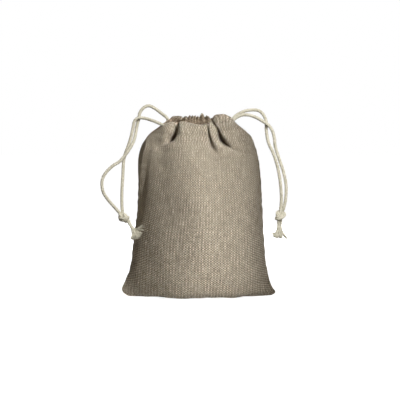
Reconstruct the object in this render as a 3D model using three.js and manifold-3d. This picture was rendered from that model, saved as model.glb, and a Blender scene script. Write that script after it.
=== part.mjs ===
// A cloth drawstring gift bag, standing filled: two sewn cloth panels, a folded casing along each
// top edge, and two cotton drawcords that run round the mouth and leave it at opposite sides.
// Millimetres, +Z up, front towards -Y, origin at the middle of the flat base.
import * as THREE from "three";
import { mergeVertices } from "three/addons/utils/BufferGeometryUtils.js";
import Module from "manifold-3d";

const wasm = await Module();
wasm.setup();

// Driving dimensions.
const CLOTH = 1.6; // wall of the panels
const GAP = 0.3; // clearance between pieces that touch
const MIDDLE_GAP = 0.2; // each panel stops this far from the plane of the side seams
const CORD_RADIUS = 1.5;
const CORD_STEP = 5; // between the corners of a cord's tube
const CORD_STRAIGHT = 1; // a drawcord leaves a casing straight for this far
const THREAD_RADIUS = 0.35;
const SHOULDER_TOP = 163; // where the sewn sides end and the slits begin
const LIP_FOOT = 158; // the hinge line, where the casing is stitched to its panel
const LIP_HALF_LENGTH = 30; // from the middle of the mouth to a slit
const FRONT_CREST = 177.5; // top of the front casing
const BACK_CREST = 181; // the back casing stands a little higher
const CREST_END = 172.5; // top of either casing at a slit
const CLOSING_ANGLE = THREE.MathUtils.degToRad(8.5); // room for a lip that tips inwards
const UPPER_RUN = 168; // height of the left drawcord in the casings
const LOWER_RUN = 164.8; // height of the right drawcord in the casings
const FRONT = -1;
const BACK = 1;
const LEFT = -1;
const RIGHT = 1;

// The filled bag at each height: half width, half depth and the shape of the section, where
// 0.5 is an ellipse and 1 a lens that comes to a point at the side seams.
const OUTLINE = [
  [0, 70, 14, 0.8],
  [5, 75, 21, 1.05],
  [9, 75.5, 24, 1.05],
  [17, 72, 27.8, 0.85],
  [37, 67, 31.8, 0.62],
  [68, 63.5, 34, 0.52],
  [100, 60.5, 33.5, 0.5],
  [125, 60, 31, 0.5],
  [143, 57.5, 27, 0.52],
  [154, 53.5, 23.3, 0.55],
  [LIP_FOOT, 51.5, 21.5, 0.55],
  [SHOULDER_TOP, 46.5, 18.8, 0.55],
];

// Outer face of a lip: its distance from the middle plane at each height.
const LIP_FACE = [
  [LIP_FOOT, 21.5],
  [SHOULDER_TOP, 19],
  [168, 15.8],
  [172, 12.5],
  [176, 9.5],
  [182, 7],
];
const LIP_SPAN = 51.5; // half width of the curve that the lips follow in plan
const LIP_CURVE = 0.55;

// The casing's section: its layers lie together at the stitched foot, stand apart round the
// channel and meet again in the fold at the top. Widths are measured along Y.
const CASING_WALL = 1.3;
const CHANNEL_WIDTH = 5;
const CHANNEL_FOOT = 161.9;
const CHANNEL_TOP = 171.2;
const CASING_OUTER = [LIP_FOOT, 160, 162, 165, 168, CHANNEL_TOP, 174, 176, 177];
const CASING_INNER = [
  [176.6, 3.2],
  [174, 5.2],
  [CHANNEL_TOP, 7.6],
  [168, 7.6],
  [165, 7.6],
  [162, 7.6],
  [160.2, 4.5],
  [158.6, 2.4],
];

const COLUMNS = 20; // faces across a panel
const STATIONS = 12; // faces along a casing
const ROWS = [0, 2, 5, 9, 13, 17, 26, 40, 62, 84, 106, 125, 137, 147, 154, 158];

// Values that change smoothly with height, from rows of [height, value, ...].
function smoothTable(rows) {
  const heights = rows.map((row) => row[0]);
  const values = rows.flatMap((row) => row.slice(1));
  const curve = new THREE.CubicInterpolant(heights, values, rows[0].length - 1);
  return (height) => Array.from(curve.evaluate(height));
}
const outlineAt = smoothTable(OUTLINE);
const lipFaceAt = smoothTable(LIP_FACE);

function at(x, y, z) {
  return new THREE.Vector3(x, y, z);
}

// Triangles over one ring of points, turned the same way round as the ring.
function ringCap(ring) {
  const normal = at(0, 0, 0);
  ring.forEach((point, i) => {
    normal.add(point.clone().cross(ring[(i + 1) % ring.length]));
  });
  const sizes = normal.toArray().map(Math.abs);
  const dropped = sizes.indexOf(Math.max(...sizes));
  const kept = [0, 1, 2].filter((axis) => axis !== dropped);
  const flat = ring.map((point) => {
    const values = point.toArray();
    return new THREE.Vector2(values[kept[0]], values[kept[1]]);
  });
  const turn = Math.sign(THREE.ShapeUtils.area(flat));
  return THREE.ShapeUtils.triangulateShape(flat, []).map(([a, b, c]) => {
    const same = turn * THREE.ShapeUtils.area([flat[a], flat[b], flat[c]]) > 0;
    return same ? [a, b, c] : [a, c, b];
  });
}

// A closed surface through a row of rings, with a cap on its first and last ring.
function loft(rings) {
  const count = rings[0].length;
  const points = rings.flat();
  const faces = [];
  for (let r = 0; r + 1 < rings.length; r++) {
    for (let i = 0; i < count; i++) {
      const a = r * count + i;
      const b = r * count + ((i + 1) % count);
      faces.push([a, b, b + count], [a, b + count, a + count]);
    }
  }
  const last = (rings.length - 1) * count;
  ringCap(rings[0]).forEach(([a, b, c]) => faces.push([a, c, b]));
  ringCap(rings.at(-1)).forEach((face) => faces.push(face.map((i) => i + last)));
  const volume = faces.reduce((sum, [a, b, c]) => {
    return sum + points[a].dot(points[b].clone().cross(points[c]));
  }, 0);
  const outward = volume > 0 ? faces : faces.map(([a, b, c]) => [a, c, b]);
  return new THREE.BufferGeometry().setFromPoints(points).setIndex(outward.flat());
}

function toSolid(geometry) {
  const bare = geometry.clone();
  bare.deleteAttribute("normal");
  bare.deleteAttribute("uv");
  const merged = mergeVertices(bare, 1e-4);
  return new wasm.Manifold(
    new wasm.Mesh({
      numProp: 3,
      vertProperties: merged.attributes.position.array,
      triVerts: Uint32Array.from(merged.index.array),
    }),
  );
}

function toGeometry(solid) {
  const { vertProperties, triVerts } = solid.getMesh();
  const geometry = new THREE.BufferGeometry();
  geometry.setAttribute("position", new THREE.BufferAttribute(vertProperties, 3));
  geometry.setIndex(new THREE.BufferAttribute(triVerts, 1));
  geometry.computeVertexNormals();
  return geometry;
}

// A round cord or thread along a smooth route, with flat ends.
function tube(route, radius, steps, sides = 8) {
  const section = new THREE.Shape();
  section.absarc(0, 0, radius, 0, 2 * Math.PI);
  return new THREE.ExtrudeGeometry(section, {
    steps,
    curveSegments: sides / 2,
    bevelEnabled: false,
    extrudePath: new THREE.CatmullRomCurve3(route),
  });
}

// A straight bar along X with the given outline in Y and Z.
function barAlongX(outline, fromX, toX) {
  return loft([fromX, toX].map((x) => outline.map(([y, z]) => at(x, y, z))));
}

// One slice of a panel, from seam to seam. The hollow's slices are inset and reach past the middle.
function panelRing(side, height, inset, reach) {
  const [halfWidth, halfDepth, shape] = outlineAt(height);
  const ring = [];
  for (let i = 0; i <= COLUMNS; i++) {
    const angle = Math.PI * (i / COLUMNS - 0.5);
    const x = (halfWidth - inset) * Math.sin(angle);
    const depth = (halfDepth - inset) * Math.abs(Math.cos(angle)) ** (2 * shape);
    ring.push(at(x, side * (MIDDLE_GAP + depth), height));
  }
  if (reach > 0) {
    ring.unshift(at(ring[0].x, -side * reach, height));
    ring.push(at(ring.at(-1).x, -side * reach, height));
  }
  return ring;
}

// A cloth panel: half of the filled bag as a shell with a flat base, cut away under the lip.
function panel(side) {
  const outerRows = [...ROWS, SHOULDER_TOP];
  const innerRows = [CLOTH, ...ROWS.filter((row) => row > CLOTH), SHOULDER_TOP + 1];
  const outer = toSolid(loft(outerRows.map((row) => panelRing(side, row, 0, 0))));
  const hollow = toSolid(loft(innerRows.map((row) => panelRing(side, row, CLOTH, 1))));
  const hinge = lipFace(0, LIP_FOOT);
  const slope = Math.tan(CLOSING_ANGLE);
  const above = SHOULDER_TOP + 5;
  const cut = [
    [-1, LIP_FOOT - GAP - (hinge + 1) * slope],
    [hinge + 1, LIP_FOOT - GAP],
    [hinge + 1, above],
    [-1, above],
  ];
  const halfLength = LIP_HALF_LENGTH + GAP;
  const mouth = barAlongX(
    cut.map(([y, z]) => [side * y, z]),
    -halfLength,
    halfLength,
  );
  return toGeometry(outer.subtract(hollow).subtract(toSolid(mouth)));
}

// Distance of a lip's outer face from the middle plane.
function lipFace(x, height) {
  const curve = (1 - (x / LIP_SPAN) ** 2) ** LIP_CURVE;
  return MIDDLE_GAP + lipFaceAt(height)[0] * curve;
}

// Heights above the channel follow the crest, which is lower towards the slits.
function crestHeight(x, height, crest) {
  if (height <= CHANNEL_TOP) return height;
  const top = crest - (crest - CREST_END) * (x / LIP_HALF_LENGTH) ** 4;
  const share = (height - CHANNEL_TOP) / (FRONT_CREST - CHANNEL_TOP);
  return CHANNEL_TOP + share * (top - CHANNEL_TOP);
}

function casingRing(side, x, crest) {
  const place = (height, thickness) => {
    const z = crestHeight(x, height, crest);
    return at(x, side * (lipFace(x, z) - thickness), z);
  };
  return [
    ...CASING_OUTER.map((height) => place(height, 0)),
    place(FRONT_CREST, 1.4),
    ...CASING_INNER.map(([height, thickness]) => place(height, thickness)),
  ];
}

function channelRing(side, x) {
  const heights = [CHANNEL_FOOT, 165, 168, CHANNEL_TOP - 0.1];
  const place = (height, thickness) => at(x, side * (lipFace(x, height) - thickness), height);
  return [
    ...heights.map((height) => place(height, CASING_WALL)),
    ...heights.reverse().map((height) => place(height, CASING_WALL + CHANNEL_WIDTH)),
  ];
}

// Evenly spaced values from one end to the other.
function spread(from, to, steps) {
  return Array.from({ length: steps + 1 }, (_, i) => from + ((to - from) * i) / steps);
}

// The folded and stitched top edge of a panel, with the channel that the drawcords run through.
function casing(side, crest) {
  const xs = spread(-LIP_HALF_LENGTH, LIP_HALF_LENGTH, STATIONS);
  const cloth = toSolid(loft(xs.map((x) => casingRing(side, x, crest))));
  const past = spread(-LIP_HALF_LENGTH - 1, LIP_HALF_LENGTH + 1, STATIONS);
  const channel = toSolid(loft(past.map((x) => channelRing(side, x))));
  return toGeometry(cloth.subtract(channel));
}

// The thread that holds a casing closed, on the outer face just above the hinge line.
function casingStitching(side) {
  const height = LIP_FOOT + 2;
  const end = LIP_HALF_LENGTH - 0.5;
  const route = spread(-end, end, 12).map((x) => {
    return at(x, side * (lipFace(x, height) + GAP + THREAD_RADIUS), height);
  });
  return tube(route, THREAD_RADIUS, 16, 6);
}

// Where a drawcord lies in the channel.
function runPoint(side, x, height) {
  const middle = CASING_WALL + CHANNEL_WIDTH / 2;
  return at(x, side * (lipFace(x, height) - middle), height);
}

function cordRun(side, height) {
  const xs = spread(-LIP_HALF_LENGTH, LIP_HALF_LENGTH, 8);
  return tube(
    xs.map((x) => runPoint(side, x, height)),
    CORD_RADIUS,
    10,
  );
}

// The bend of a drawcord across the slit where it doesn't leave the bag.
function cordBridge(slit, height, reach, lift) {
  const exit = slit * (LIP_HALF_LENGTH + GAP);
  const halfWidth = Math.abs(runPoint(FRONT, exit, height).y);
  const bend = spread(0, Math.PI, 8).map((angle) => {
    const out = CORD_STRAIGHT + (reach - CORD_STRAIGHT) * Math.sin(angle);
    return at(exit + slit * out, -halfWidth * Math.cos(angle), height + lift * Math.sin(angle));
  });
  return tube([at(exit, -halfWidth, height), ...bend, at(exit, halfWidth, height)], CORD_RADIUS, 12);
}

// Routes of the four free strands, from the slit over an arch and down to the knot.
const LEFT_START = runPoint(FRONT, LIP_HALF_LENGTH + GAP, UPPER_RUN);
const RIGHT_START = runPoint(FRONT, LIP_HALF_LENGTH + GAP, LOWER_RUN);
const STRANDS = {
  left_front_strand: [
    [-LEFT_START.x, LEFT_START.y, LEFT_START.z],
    [-LEFT_START.x - CORD_STRAIGHT, LEFT_START.y, LEFT_START.z],
    [-34.6, -7.4, 169.2],
    [-41.9, -5.8, 172.5],
    [-48, -4.4, 174.7],
    [-53.2, -3.5, 176.1],
    [-59.3, -3, 176.2],
    [-63, -3, 172.8],
    [-64.7, -3, 165],
    [-66.6, -3.2, 156.8],
    [-69.1, -3.6, 149],
    [-72, -4, 141.1],
    [-73.6, -4.8, 133.3],
    [-74.2, -6.5, 120.5],
    [-75, -8.5, 105.8],
    [-75, -10.5, 93.1],
    [-74.3, -12.2, 83.5],
  ],
  left_back_strand: [
    [-LEFT_START.x, -LEFT_START.y, LEFT_START.z],
    [-LEFT_START.x - CORD_STRAIGHT, -LEFT_START.y, LEFT_START.z],
    [-32.6, 7, 169.6],
    [-33.4, 5, 172.8],
    [-34.8, 3.4, 176.8],
    [-38.2, 2.6, 181.3],
    [-43.1, 2, 185.5],
    [-49, 1.5, 188.2],
    [-54.2, 1.2, 186.2],
    [-57.8, 1, 181.3],
    [-59, 0.8, 175],
    [-60.6, -0.5, 168.6],
    [-61.9, -2.2, 160.7],
    [-64, -4.5, 152.9],
    [-67.8, -7, 146],
    [-72, -8.2, 140],
    [-77, -9, 134.2],
    [-84.3, -10, 129.4],
    [-91, -11, 122.5],
    [-94.2, -11.5, 114.7],
    [-93.2, -12, 104.9],
    [-88.4, -12.5, 97],
    [-82.5, -12.8, 90.2],
    [-77.6, -13, 84.6],
  ],
  right_front_strand: [
    [RIGHT_START.x, RIGHT_START.y, RIGHT_START.z],
    [RIGHT_START.x + CORD_STRAIGHT, RIGHT_START.y, RIGHT_START.z],
    [33, -8.7, 164.8],
    [34.4, -6, 165],
    [34.3, -3.8, 167],
    [33.7, -2.8, 170.8],
    [34.8, -2.4, 174.6],
    [37.5, -2.3, 177.4],
    [41.5, -2.3, 179],
    [45.5, -2.4, 179.4],
    [50.5, -2.5, 178.7],
    [57.3, -2.9, 176],
    [62.9, -3.2, 172.6],
    [67.9, -3.4, 169.1],
    [71.7, -3.6, 163.5],
    [73.6, -4, 156],
    [74.2, -4.5, 149.5],
    [76.2, -5, 142.3],
    [79.2, -5.6, 133.5],
    [82.3, -6.2, 124.2],
    [84.9, -7, 110.7],
    [84.4, -7.6, 97],
    [81.6, -7.9, 86.5],
  ],
  right_back_strand: [
    [RIGHT_START.x, -RIGHT_START.y, RIGHT_START.z],
    [RIGHT_START.x + CORD_STRAIGHT, -RIGHT_START.y, RIGHT_START.z],
    [33, 8.7, 164.8],
    [34.4, 6, 165],
    [34.3, 3.8, 167],
    [33.7, 2.4, 171],
    [34.2, 1.8, 175.4],
    [36.6, 1.6, 178.6],
    [40.4, 1.4, 181.2],
    [46.1, 1.3, 183.4],
    [52.3, 1.2, 184.2],
    [58, 1.2, 183.6],
    [61.9, 1.1, 180.8],
    [64.6, 1, 176.4],
    [65.8, 0.8, 171],
    [65.7, 0.2, 166],
    [66.3, -1, 160],
    [67.2, -2.2, 154.8],
    [68.9, -3, 149.7],
    [72.3, -4, 142.3],
    [74.9, -4.8, 134.8],
    [77.3, -5.5, 126],
    [79.4, -6.2, 113],
    [80.2, -7, 98],
    [78.2, -7.8, 86.5],
  ],
};

function strandRoute(name) {
  return STRANDS[name].map(([x, y, z]) => at(x, y, z));
}

function strand(name) {
  const route = strandRoute(name);
  const length = new THREE.CatmullRomCurve3(route).getLength();
  return tube(route, CORD_RADIUS, Math.round(length / CORD_STEP));
}

// An overhand knot of both strands: a core along the line from its top to its foot, with two wraps.
const KNOTS = {
  left_knot: { top: [-77.6, -12.6, 85.2], foot: [-67.6, -14.4, 76], strands: "left" },
  right_knot: { top: [80.4, -7.8, 89], foot: [78, -8.6, 77], strands: "right" },
};
const KNOT_RADIUS = 3.4;

function knot({ top, foot, strands }) {
  const from = at(...top);
  const to = at(...foot);
  const along = to.clone().sub(from);
  const turn = new THREE.Quaternion().setFromUnitVectors(
    at(0, 0, 1),
    along.clone().normalize(),
  );
  const middle = from.clone().add(to).multiplyScalar(0.5);
  const place = (geometry, share, tilt) => {
    geometry.rotateX(tilt);
    geometry.translate(0, 0, share * along.length());
    geometry.applyQuaternion(turn);
    return toSolid(geometry.translate(middle.x, middle.y, middle.z));
  };
  const core = new THREE.SphereGeometry(1, 12, 8);
  core.scale(KNOT_RADIUS, KNOT_RADIUS, along.length() / 2 + 0.5);
  const wrap = () => new THREE.TorusGeometry(KNOT_RADIUS - 0.4, CORD_RADIUS, 6, 14);
  let body = place(core, 0, 0);
  body = body.add(place(wrap(), -0.1, 0.35));
  body = body.add(place(wrap(), 0.16, -0.35));
  for (const name of ["front", "back"]) {
    const route = strandRoute(strands + "_" + name + "_strand").slice(-3);
    body = body.subtract(toSolid(tube(route, CORD_RADIUS + GAP, 8)));
    const end = endRings(strands + "_" + name + "_end", GAP);
    body = body.subtract(toSolid(loft(end)));
  }
  return toGeometry(body);
}

// The cord ends below a knot: a short stub that frays into a flat brush.
const ENDS = {
  left_front_end: [
    [-69.6, -15.4, 75.6],
    [-64.6, -16.6, 70],
    [-62.4, -18.6, 58.5],
  ],
  left_back_end: [
    [-67.4, -12.6, 78.2],
    [-63.4, -15.6, 73.4],
    [-56.2, -20.4, 64],
  ],
  right_front_end: [
    [76.9, -8.6, 79],
    [76.6, -9, 72],
    [75.4, -9.6, 59.6],
  ],
  right_back_end: [
    [80.9, -8.4, 79],
    [82.2, -8.6, 72],
    [84.6, -9, 60],
  ],
};
const FRAY_START = 0.45; // share of an end that is still round cord
const FRAY_WIDTH = 2.6; // half width of the brush at its tip
const FRAY_DEPTH = 1.1;

function endRings(name, extra) {
  const curve = new THREE.CatmullRomCurve3(ENDS[name].map(([x, y, z]) => at(x, y, z)));
  const steps = 8;
  return spread(0, 1, steps).map((share) => {
    const middle = curve.getPoint(share);
    const along = curve.getTangent(share);
    const deep = at(0, 1, 0).cross(along).cross(along).normalize();
    const wide = along.clone().cross(deep).normalize();
    const fray = Math.max(0, (share - FRAY_START) / (1 - FRAY_START)) ** 1.5;
    const halfWidth = THREE.MathUtils.lerp(CORD_RADIUS - 0.2, FRAY_WIDTH, fray) + extra;
    const halfDepth = THREE.MathUtils.lerp(CORD_RADIUS - 0.2, FRAY_DEPTH, fray) + extra;
    return spread(0, 7 / 8, 7).map((turn) => {
      const angle = 2 * Math.PI * turn;
      return middle
        .clone()
        .addScaledVector(wide, halfWidth * Math.cos(angle))
        .addScaledVector(deep, halfDepth * Math.sin(angle));
    });
  });
}

// The turned-in edges of both panels inside a side seam, and the thread through them.
const SEAM_WIDTH = 6;
const SEAM_HALF_THICKNESS = 0.6;
const SEAM_OFFSET = 0.5; // from the inner face of the panels
const SIDE_SEAM_ROWS = ROWS.filter((row) => row >= 17 && row <= 154);

function sideSeamEdge(height, inset) {
  return outlineAt(height)[0] - CLOTH - SEAM_OFFSET - inset;
}

function sideSeam(slit) {
  const rings = SIDE_SEAM_ROWS.map((row) => {
    const outerX = slit * sideSeamEdge(row, 0);
    const innerX = slit * sideSeamEdge(row, SEAM_WIDTH);
    const y = SEAM_HALF_THICKNESS;
    return [at(outerX, -y, row), at(innerX, -y, row), at(innerX, y, row), at(outerX, y, row)];
  });
  return loft(rings);
}

const THREAD_DEPTH = SEAM_HALF_THICKNESS + GAP + THREAD_RADIUS;

function sideSeamThread(slit) {
  const inset = 2;
  const route = SIDE_SEAM_ROWS.map((row) => at(slit * sideSeamEdge(row, inset), -THREAD_DEPTH, row));
  return tube(route, THREAD_RADIUS, 14, 6);
}

// The same along the base, from corner to corner.
const BOTTOM_SEAM_HALF_LENGTH = 66;

function bottomSeam() {
  const foot = CLOTH + GAP;
  const y = SEAM_HALF_THICKNESS;
  const section = [
    [-y, foot],
    [y, foot],
    [y, foot + SEAM_WIDTH],
    [-y, foot + SEAM_WIDTH],
  ];
  return barAlongX(section, -BOTTOM_SEAM_HALF_LENGTH, BOTTOM_SEAM_HALF_LENGTH);
}

function bottomSeamThread() {
  const height = CLOTH + GAP + 2;
  const end = BOTTOM_SEAM_HALF_LENGTH - 2;
  const route = [at(-end, -THREAD_DEPTH, height), at(0, -THREAD_DEPTH, height), at(end, -THREAD_DEPTH, height)];
  return tube(route, THREAD_RADIUS, 2, 6);
}

const linen = { color: 0x9c907c, roughness: 0.95, metalness: 0 };
const cotton = { color: 0xcfccba, roughness: 0.9, metalness: 0 };
const thread = { color: 0xb3a791, roughness: 0.85, metalness: 0 };

const bag = new THREE.Group();

function addPiece(name, geometry, finish) {
  const mesh = new THREE.Mesh(geometry, new THREE.MeshStandardMaterial(finish));
  mesh.name = name;
  bag.add(mesh);
}

addPiece("front_panel", panel(FRONT), linen);
addPiece("back_panel", panel(BACK), linen);
addPiece("front_casing", casing(FRONT, FRONT_CREST), linen);
addPiece("back_casing", casing(BACK, BACK_CREST), linen);
addPiece("front_casing_stitching", casingStitching(FRONT), thread);
addPiece("back_casing_stitching", casingStitching(BACK), thread);
addPiece("left_seam_allowance", sideSeam(LEFT), linen);
addPiece("right_seam_allowance", sideSeam(RIGHT), linen);
addPiece("bottom_seam_allowance", bottomSeam(), linen);
addPiece("left_seam_thread", sideSeamThread(LEFT), thread);
addPiece("right_seam_thread", sideSeamThread(RIGHT), thread);
addPiece("bottom_seam_thread", bottomSeamThread(), thread);
addPiece("left_cord_front_run", cordRun(FRONT, UPPER_RUN), cotton);
addPiece("left_cord_back_run", cordRun(BACK, UPPER_RUN), cotton);
addPiece("left_cord_bridge", cordBridge(RIGHT, UPPER_RUN, 8, 1.5), cotton);
addPiece("right_cord_front_run", cordRun(FRONT, LOWER_RUN), cotton);
addPiece("right_cord_back_run", cordRun(BACK, LOWER_RUN), cotton);
addPiece("right_cord_bridge", cordBridge(LEFT, LOWER_RUN, 8, 0), cotton);
for (const name of Object.keys(STRANDS)) addPiece(name, strand(name), cotton);
for (const name of Object.keys(KNOTS)) addPiece(name, knot(KNOTS[name]), cotton);
for (const name of Object.keys(ENDS)) addPiece(name, loft(endRings(name, 0)), cotton);

export default bag;
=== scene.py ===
# A cloth drawstring gift bag that stands filled, with two knotted cotton drawcords.
# The shapes are worked out in millimetres and made in metres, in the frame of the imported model.
import math

import bpy
import numpy as np
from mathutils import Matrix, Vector


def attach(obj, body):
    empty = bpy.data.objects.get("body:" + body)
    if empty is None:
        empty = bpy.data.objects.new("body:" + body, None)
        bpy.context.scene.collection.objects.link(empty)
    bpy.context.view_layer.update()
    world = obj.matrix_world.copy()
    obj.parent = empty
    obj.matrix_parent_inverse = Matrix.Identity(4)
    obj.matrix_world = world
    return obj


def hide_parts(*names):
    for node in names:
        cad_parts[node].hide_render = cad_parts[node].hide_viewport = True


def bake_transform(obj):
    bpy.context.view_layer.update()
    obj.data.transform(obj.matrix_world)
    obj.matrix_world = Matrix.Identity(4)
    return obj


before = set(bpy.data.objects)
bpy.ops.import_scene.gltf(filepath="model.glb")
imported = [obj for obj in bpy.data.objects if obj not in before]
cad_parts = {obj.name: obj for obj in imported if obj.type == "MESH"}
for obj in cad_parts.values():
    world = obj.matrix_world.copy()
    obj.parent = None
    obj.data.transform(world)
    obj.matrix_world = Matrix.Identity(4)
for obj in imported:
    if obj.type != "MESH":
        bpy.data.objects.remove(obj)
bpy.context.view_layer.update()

MM = 0.001
FRONT = -1
BACK = 1
LEFT = -1
RIGHT = 1

# The cut cloth, and the heights on it, measured from the bottom seam.
FLAT_HALF_WIDTH = 75.0
STITCH_LINE = 180.0
CREST = 202.0
HEM = 21.0
CLOTH_THICKNESS = 0.6
# Columns and rows of its mesh. Each row is worked out at dense columns, and then spaced evenly.
COLUMNS = 176
DENSE_COLUMNS = 721
ROWS_BELOW = 128
ROWS_CASING = 24
ROWS_HEM = 14
CREST_ROW = ROWS_BELOW + ROWS_CASING

# Outer edge of the filled bag on each side: (height, distance from the middle).
LEFT_EDGE = [
    (0, 66), (2, 70.5), (5, 74.6), (9, 75.8), (13, 74.6), (17, 72.5), (25, 69.2), (36, 66.4), (52, 64.2),
    (68, 61.9), (83, 59.3), (100, 58.8), (118, 59.8), (130, 59.5), (138, 58.8), (146, 56.6), (154, 53.2),
    (158, 51), (162, 47.3), (166, 42.4), (170, 36.7)]
RIGHT_EDGE = [
    (0, 66), (2, 69.8), (3, 72.6), (4.2, 74.4), (5.6, 75.2), (7.2, 74.7), (9, 73.2), (13, 71.2), (17, 69.8),
    (25, 67.8), (36, 65.5), (52, 64.1), (68, 62.6), (83, 61.7), (95, 60.9), (118, 60.1), (130, 59.3),
    (138, 58.2), (146, 56.2), (154, 53.4), (158, 51.1), (162, 47.4), (166, 43.2), (170, 39.4)]
# Half depth of the bag, and the shape of its section: 1 is an ellipse, 2 a lens pointed at the seams.
HALF_DEPTH = [
    (0, 14), (5, 21), (9, 24), (17, 27.8), (37, 31.8), (68, 34), (100, 33.5), (125, 31), (143, 27),
    (154, 23.3), (160, 20.5), (166, 17.2), (172, 12.5), (182, 7)]
POINTEDNESS = [
    (0, 1.6), (5, 2.1), (9, 2.1), (17, 1.7), (37, 1.24), (68, 1.04), (100, 1), (125, 1), (143, 1.04),
    (154, 1.1), (170, 1.1)]
# The middle of a panel, from the bottom seam up: (half depth, height).
MERIDIAN = [
    (0, 0.7), (8, 0.4), (14, 1), (19, 3.6), (23, 8), (27, 16), (30.5, 30), (33, 52), (34, 80),
    (33.3, 105), (30.5, 128), (27, 143), (23.5, 153.5), (21.5, 158), (20.4, 160)]
HALF_GAP = 0.2
# On the cloth between these heights the depth passes from the middle's line to the table.
DEPTH_BLEND = (14, 34)
# The heights of the side seams' ends, and the degrees by which the seams lie round to the front. The turn
# grows and fades between these heights on the cloth.
SEAM_FOOT = {LEFT: 1.6, RIGHT: 2.3}
SEAM_TOP = 163.0
SEAM_TURN = {LEFT: 22, RIGHT: 12}
TURN_GROWS = (70, 150)
TURN_FADES = (162, 180)
# The gathered mouth at its crest, and the arc in half turns over which each casing leans inwards.
CREST_HALF_LENGTH = {FRONT: 36.0, BACK: 31.0}
SLIT_OPENING = 5.0
CREST_DEPTH = 9.0
CREST_POINTEDNESS = 1.1
CASING_ARC = {FRONT: 0.42, BACK: 0.25}
# How far behind the smooth outside the hem lies, by the distance from the stitch line, and the distances
# below the crest between which it comes to follow the folds of the outside.
HEM_DEPTH = [(0, 1.1), (2, 1.6), (5, 4.2), (9, 5), (14, 4.8), (18, 3.6), (20.5, 2.4), (22, 0.8)]
HEM_FOLLOWS = {FRONT: (4, 0), BACK: (10, 2)}
# Between these heights on the cloth the back's folds turn until they stand out level.
BACK_LEVEL = (182, 194)
# Top edge of each casing: (place across, height).
CREST_HEIGHT = {
    FRONT: [
        (-36, 169), (-33, 170.8), (-29, 172), (-25, 172.4), (-21, 171.8), (-17, 172.8), (-9, 172),
        (-1, 170.4), (4, 170.4), (6.5, 171.4), (8.5, 171.2), (12, 172.6), (13.2, 174.8), (15.2, 177.6),
        (20, 177.8), (26, 177.4), (30, 176.4), (33, 174.2), (36, 170.6)],
    BACK: [
        (-31, 171.5), (-29.5, 174.6), (-27, 177.4), (-22, 178.4), (-17, 178.2), (-13, 178), (-9, 179.2),
        (-5.3, 179.4), (-1.5, 178.8), (0.6, 178.8), (2.8, 181.2), (5.4, 179), (8, 178.8), (10.6, 177.4),
        (13, 176.4), (16, 176.4), (20, 176.6), (26, 175.6), (31, 171.5)],
}

# The rounded ruffles of the back's edge lie between valleys, and the edge dips at each valley.
RUFFLE_VALLEYS = [-27.5, -15.7, -10.8, -7.6, -5.1, -2.4, 0.2, 5.7, 11]
VALLEY_HALF_WIDTH = 1.35
RUFFLE_DIP = 1.7
RUFFLES = [((a + b) / 2, (b - a) / 2) for a, b in zip(RUFFLE_VALLEYS, RUFFLE_VALLEYS[1:])]
# The dark hollow beside them, under the edge: place across, height, reach across, reach up, depth.
MOUTH_HOLLOW = (-20.6, 172.6, 2.8, 1.6, 4.5)

# The folds of the gathered cloth. By height: place across, depth, and half width of the steep right flank.
# The left flank is wider by the ratio "flank", and "lean" pushes the bottom of a fold to the right.
FRONT_FOLDS = [
    {"place": [
        (145, -38), (149, -34.6), (153, -30.6), (157, -26.8), (161, -24), (166, -22.2), (174, -20.8)],
     "depth": [
        (145, 0), (149, 1.2), (152, 3.2), (155, 7.5), (158, 12), (162, 14), (166, 12), (169, 7.5),
        (171, 3.4), (173, 1.2), (176, 0.6)],
     "width": [
        (145, 6), (150, 3.8), (154, 2.6), (158, 2.1), (162, 1.9), (166, 1.6), (170, 1.4), (174, 1.3)],
     "flank": 3.2, "lean": -0.12},
    {"place": [
        (141, 17), (146, 14.6), (150, 13), (155, 11.2), (160, 9.8), (165, 8.6), (170, 7.7), (174, 7.3)],
     "depth": [
        (141, 0), (145, 1.6), (149, 4.2), (154, 6.6), (158, 5.8), (162, 4), (166, 2.6), (170, 1.5),
        (174, 0.8)],
     "width": [(141, 5), (146, 2.4), (150, 1.5), (157, 1.05), (165, 0.9), (174, 0.8)],
     "flank": 2.4, "lean": 0.2},
    {"place": [
        (142, 40), (146, 33.6), (149, 28.6), (153, 24.2), (157, 21.2), (162, 18.6), (166, 16.9),
        (170, 14.6), (174, 12.6)],
     "depth": [
        (141, 0), (145, 1), (149, 3.6), (153, 8), (158, 10.5), (162, 9), (165, 5.5), (168, 2.6), (171, 1.3),
        (174, 0.8)],
     "width": [(141, 8), (146, 3.6), (150, 2.4), (156, 1.8), (163, 1.4), (168, 1.2), (174, 1)],
     "flank": 2, "lean": 0.4},
]
NARROWEST_FOLD = 0.8
# What passes behind the folds sees them this much wider.
BEHIND_WIDER = 3
# The pinched folds beside the ruffles: place across, half width. All folds of the back start between
# these heights, and fan out downwards by these ratios at their foot and half way up.
PINCHES = [(-31, 1.5), (15, 1.5), (21, 1.5), (27, 1.5)]
BACK_FOLD_FOOT = (133, 152)
BACK_FOLD_FAN = (1.45, 1.1)
# Soft swellings and hollows of the front: place across, height, reach across, reach up, amount.
FRONT_SWELLINGS = [
    (-33, 166, 6, 7, 1.3), (-16.5, 162, 4, 7, 1.6), (-27.5, 158, 4, 3.6, -2.8), (-6, 164, 12, 10, 0.8),
    (12.5, 165, 3, 9, 0.8), (24, 172, 7, 8, 2.6), (23.5, 176.5, 6, 2.6, 2.0), (21.5, 170.5, 5, 4, -2.6),
    (29.5, 170, 4, 6, 1.8), (-32, 150, 6, 4, 1.3), (30, 155, 7, 5, 1.4), (20, 146, 9, 5, 0.8),
    (36, 160, 7, 6, 0.8), (-42, 152, 7, 9, -0.9),
]
# The undulations of the filled cloth: lengths, greatest slant in radians, and height for each length.
WAVES = 46
WAVE_LENGTHS = (16, 60)
WAVE_SLANT = 0.9
WAVE_HEIGHT = 0.011
WAVE_STRENGTH = 0.42
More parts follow.
